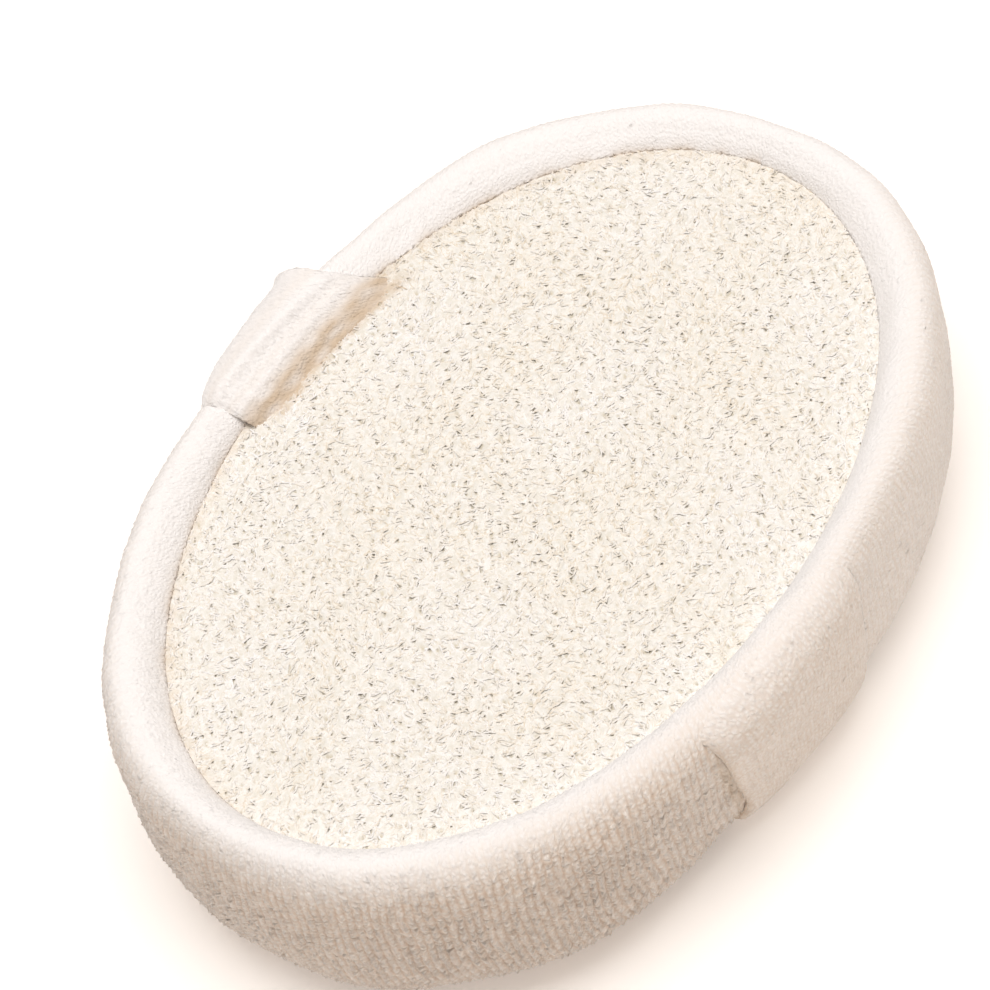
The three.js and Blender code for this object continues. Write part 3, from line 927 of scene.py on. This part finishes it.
# %% Helpers for finishes
class Finish:
    """A material with a Principled shader and the shared fuzz, and short ways to add nodes.

    A source is a socket, or the name of a mask of the fuzz or of a value that the mesh carries.
    """

    def __init__(self, name, fine_scale, broad_scale, bump_strength, bump_depth):
        self.material = bpy.data.materials.new(name)
        self.material.use_nodes = True
        self.tree = self.material.node_tree
        self.shader = self.tree.nodes["Principled BSDF"]
        self.fuzz = self.add("Group")
        self.fuzz.node_tree = fuzz_group
        set_inputs(self.fuzz, Fine=fine_scale, Broad=broad_scale)
        self.bump = self.add("Bump")
        set_inputs(self.bump, Strength=bump_strength, Distance=bump_depth)
        self.link("Height", self.bump.inputs["Height"])
        self.link(self.bump.outputs["Normal"], self.shader.inputs["Normal"])

    def add(self, kind):
        return self.tree.nodes.new("ShaderNode" + kind)

    def link(self, source, target):
        if isinstance(source, str) and source in self.fuzz.outputs:
            source = self.fuzz.outputs[source]
        elif isinstance(source, str):
            node = self.add("Attribute")
            node.attribute_name = source
            source = node.outputs["Fac"]
        self.tree.links.new(source, target)

    def ramp(self, source, *stops):
        """Colours for a source, as (place, colour) stops."""
        node = self.add("ValToRGB")
        for _ in stops[2:]:
            node.color_ramp.elements.new(0.5)
        for element, (place, colour) in zip(node.color_ramp.elements, stops):
            element.position = place
            element.color = (*colour, 1)
        self.link(source, node.inputs["Fac"])
        return node.outputs["Color"]

    def mix(self, factor, first, second, blend="MIX"):
        """Two colours mixed. Each input is a source, a colour or a number."""
        node = self.add("Mix")
        node.data_type = "RGBA"
        node.blend_type = blend
        for value, socket in ((factor, 0), (first, 6), (second, 7)):
            if isinstance(value, tuple):
                node.inputs[socket].default_value = (*value, 1)
            elif isinstance(value, float):
                node.inputs[socket].default_value = value
            else:
                self.link(value, node.inputs[socket])
        return node.outputs[2]

    def colour(self, source):
        self.link(source, self.shader.inputs["Base Color"])

    def settings(self, **values):
        set_inputs(self.shader, **values)

    def wear(self, *pieces):
        for piece in pieces:
            piece.data.materials.clear()
            piece.data.materials.append(self.material)
        print(self.material.name, "on", ", ".join(piece.name for piece in pieces))


# %% [markdown]
# Terry is matt and a little glowing at its edges, which is what sheen is for. Its loops are white at their
# tops, and the ground between them is painted a warm brown as shade, most down the wall. The mesh has only
# one point to a loop, so a finer net of cells, laid out in millimetres on the cloth, breaks each one up in
# colour and in bump, with painted shade at the cells' borders.

# %% Terry finish
# Brown for stain and for painted shade in creases and gaps.
BROWN_STAIN_AND_SHADE = (0.60, 0.43, 0.26)
WHITE = (1.0, 1.0, 1.0)
YARN_CELL = (0.58, 0.66)  # millimetres across and along the cloth
terry = Finish("white_terry", 2600, 45, 1.0, 0.00017)
cloth_place = terry.add("UVMap")
cloth_place.uv_map = "Weave"
in_cells = terry.add("Mapping")
set_inputs(in_cells, Scale=(1 / YARN_CELL[0], 1 / YARN_CELL[1], 1))
loops = terry.add("TexVoronoi")
loops.voronoi_dimensions = "2D"
set_inputs(loops, Scale=1)
terry.link(cloth_place.outputs["UV"], in_cells.inputs["Vector"])
terry.link(in_cells.outputs["Vector"], loops.inputs["Vector"])
loop_height = terry.ramp(loops.outputs["Distance"], (0.0, WHITE), (0.6, (0, 0, 0)))
terry.link(terry.mix(0.5, loop_height, "Height"), terry.bump.inputs["Height"])
# Painted shade at the cells' borders, as far as the point's open value lets it show.
cell_border_shade = terry.ramp(loop_height, (0.0, (0.88, 0.785, 0.70)), (0.9, (0.99, 0.95, 0.905)))
shaded_cells = terry.mix("open", WHITE, cell_border_shade)
# Painted shade: the pile's low points, between the loops, run to tan.
pile_shade_stops = (0.0, (0.76, 0.64, 0.55)), (0.5, (0.925, 0.875, 0.83)), (1.0, (0.985, 0.963, 0.958))
woven_and_shaded = terry.mix(1.0, terry.ramp("pile", *pile_shade_stops), shaded_cells, "MULTIPLY")
# Brown where stain and painted shade lie.
terry.colour(terry.mix("stain_and_shade", woven_and_shaded, BROWN_STAIN_AND_SHADE))
terry.settings(Roughness=0.95, Sheen_Weight=0.4, Sheen_Roughness=0.5, Specular_IOR_Level=0.2)
terry.wear(side_band, hand_strap, back_panel)

# %% [markdown]
# Loofah fibres run from near white to straw. Broad patches are bleached whiter, others stay yellower.
# Beside the rim they are painted brown as the shade of the seam's gap, and beside the strap's sewn end
# browner still, as stain and painted shadow of the folded end.

# %% Fibre finish
fibre = Finish("loofah_fibre", 2300, 38, 0.35, 0.0001)
tone_stops = (0.0, (0.84, 0.78, 0.70)), (0.3, (0.91, 0.875, 0.83)), (1.0, (0.945, 0.927, 0.922))
patches = fibre.ramp("Patches", (0.38, (0.975, 0.95, 0.90)), (0.6, WHITE))
grain = fibre.ramp("Height", (0.36, (0.89, 0.86, 0.80)), (0.52, WHITE))
patched = fibre.mix(1.0, fibre.ramp("tone", *tone_stops), patches, "MULTIPLY")
grained = fibre.mix(1.0, patched, grain, "MULTIPLY")
fibre.colour(fibre.mix("stain_and_shade", grained, BROWN_STAIN_AND_SHADE))
fibre.settings(Roughness=0.7, Specular_IOR_Level=0.3)
fibre.wear(lower_fibres, upper_fibres)

# %% Mat finish
# Painted shade: the pits are darker, as the gaps' depth shades them.
PIT_SHADE_COLOUR = (0.66, 0.59, 0.46)
mat = Finish("loofah_mat", 900, 60, 0.8, 0.0006)
straw = mat.ramp("Height", (0.35, (0.82, 0.78, 0.70)), (0.65, (0.92, 0.90, 0.86)))
mat.colour(mat.mix("pit", mat.mix("stain_and_shade", straw, BROWN_STAIN_AND_SHADE), PIT_SHADE_COLOUR))
mat.settings(Roughness=0.9)
mat.wear(loofah_mat)

# %% [markdown]
# The foam core is never seen, but it keeps its place in the model and gets a finish of its own.

# %% Foam finish
foam = Finish("open_foam", 1400, 80, 0.8, 0.0004)
foam.colour(foam.ramp("Height", (0.3, (0.72, 0.67, 0.55)), (0.6, (0.88, 0.85, 0.76))))
foam.settings(Roughness=0.95)
foam.wear(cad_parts["foam_core"])

# %% [markdown]
# ## Floor, light and camera
# The pad lies on a plain white floor. The floor glows a little, as a light table does, so that it stays
# white round the pad and lights the wall from below. A brighter lamp would do that too, but it would burn
# the white rim out.

# %% Floor
FLOOR_REACH = 6  # metres
corners = [(-1, -1), (1, -1), (1, 1), (-1, 1)]
floor_mesh = bpy.data.meshes.new("floor")
floor_mesh.from_pydata([(FLOOR_REACH * x, FLOOR_REACH * y, 0) for x, y in corners], [], [(0, 1, 2, 3)])
floor = add_object("floor", floor_mesh)
paper = Finish("floor_paper", 300, 3, 0.02, 0.0002)
paper.colour(paper.ramp("Patches", (0.3, (0.95, 0.93, 0.91)), (0.7, (0.955, 0.935, 0.915))))
paper.settings(Roughness=0.95, Specular_IOR_Level=0.0)
paper.settings(Emission_Color=(1.0, 0.94, 0.89, 1), Emission_Strength=0.24)
paper.wear(floor)

# %% [markdown]
# Most of the light is one wide soft lamp overhead. A weaker one in front and two faint ones at the sides
# keep the wall from going flat.

# %% Lights
middle_of_pad = Vector((0, 0, 0.02))


def way_to(azimuth, elevation):
    """The way from the pad to a place at a compass angle and a height in degrees."""
    a, e = math.radians(azimuth), math.radians(elevation)
    return Vector((math.sin(a) * math.cos(e), -math.cos(a) * math.cos(e), math.sin(e)))


def place_light(name, azimuth, elevation, distance, size, power, colour):
    """A square soft light aimed at the pad. Distance and size are in metres, power in watts."""
    back = way_to(azimuth, elevation)
    data = bpy.data.lights.new(name, "AREA")
    data.size = size
    data.energy = power
    data.color = colour
    light = add_object(name, data)
    turned = back.to_track_quat("Z", "Y").to_matrix().to_4x4()
    light.matrix_world = Matrix.Translation(middle_of_pad + back * distance) @ turned
    print(f"light {name}: {power} W")


place_light("overhead", 135, 86, 1.3, 1.2, 15.5, (1.0, 0.985, 0.975))
place_light("right", 60, 40, 1.4, 1.0, 1.5, (1.0, 0.97, 0.94))
place_light("left", -95, 25, 1.4, 1.0, 0.5, (1.0, 0.96, 0.92))
place_light("front", -44, 75, 1.4, 1.0, 4.0, (1.0, 0.96, 0.92))

# %% [markdown]
# The world behind the floor has two jobs. For light it is a weak warm fill. Seen directly, past the floor's
# far edge, it is a backdrop of the floor's own tone, so that low views show no horizon.

# %% World
world = bpy.context.scene.world or bpy.data.worlds.new("studio")
bpy.context.scene.world = world
world.use_nodes = True
sky = world.node_tree
fill = sky.nodes["Background"]
set_inputs(fill, Color=(1.0, 0.85, 0.73, 1), Strength=0.15)
backdrop = sky.nodes.new("ShaderNodeBackground")
set_inputs(backdrop, Color=(0.385, 0.352, 0.322, 1))
seen = sky.nodes.new("ShaderNodeLightPath")
either = sky.nodes.new("ShaderNodeMixShader")
sources = (seen.outputs["Is Camera Ray"], fill.outputs[0], backdrop.outputs[0])
for source, target in zip(sources, either.inputs):
    sky.links.new(source, target)
sky.links.new(either.outputs[0], sky.nodes["World Output"].inputs["Surface"])
bpy.context.scene.view_settings.view_transform = "Standard"
print("world nodes:", len(sky.nodes))

# %% [markdown]
# The camera was found by fitting the pad's section to its outline in the photograph. It looks from the near
# side, rolled a little, with a long lens, and is turned to put the middle of the pad's underside where the
# fit has it in the picture.

# %% Camera
VIEW_AZIMUTH = -44.3
VIEW_ELEVATION = 53.2
VIEW_ROLL = math.radians(-16.5)
VIEW_DISTANCE = 0.886
FOCAL_PIXELS = 5897
IMAGE_SIZE = 990
AIM_PIXEL = (558.4, 603.9)
back = way_to(VIEW_AZIMUTH, VIEW_ELEVATION)
level_right = (-back).cross(Vector((0, 0, 1))).normalized()
level_up = level_right.cross(-back)
right = math.cos(VIEW_ROLL) * level_right + math.sin(VIEW_ROLL) * level_up
up = math.cos(VIEW_ROLL) * level_up - math.sin(VIEW_ROLL) * level_right
turn_right = (IMAGE_SIZE / 2 - AIM_PIXEL[0]) / FOCAL_PIXELS
turn_up = (AIM_PIXEL[1] - IMAGE_SIZE / 2) / FOCAL_PIXELS
ahead = (-back + right * turn_right + up * turn_up).normalized()
right = (right - ahead * right.dot(ahead)).normalized()
up = right.cross(ahead)
place = Vector((0, 0, pad_bottom * MM)) + back * VIEW_DISTANCE
camera_data = bpy.data.cameras.new("camera")
camera_data.sensor_width = 36
camera_data.lens = FOCAL_PIXELS * camera_data.sensor_width / IMAGE_SIZE
camera_data.clip_start = 0.01
camera = add_object("camera", camera_data)
camera.matrix_world = Matrix.Translation(place) @ Matrix((right, up, -ahead)).transposed().to_4x4()
bpy.context.scene.camera = camera
print(f"camera {camera_data.lens:.0f} mm, {VIEW_DISTANCE:.2f} m away")

# %% [markdown]
# ## Last step
# The scene's view layer is brought up to date.

# %% Finish
bpy.context.view_layer.update()
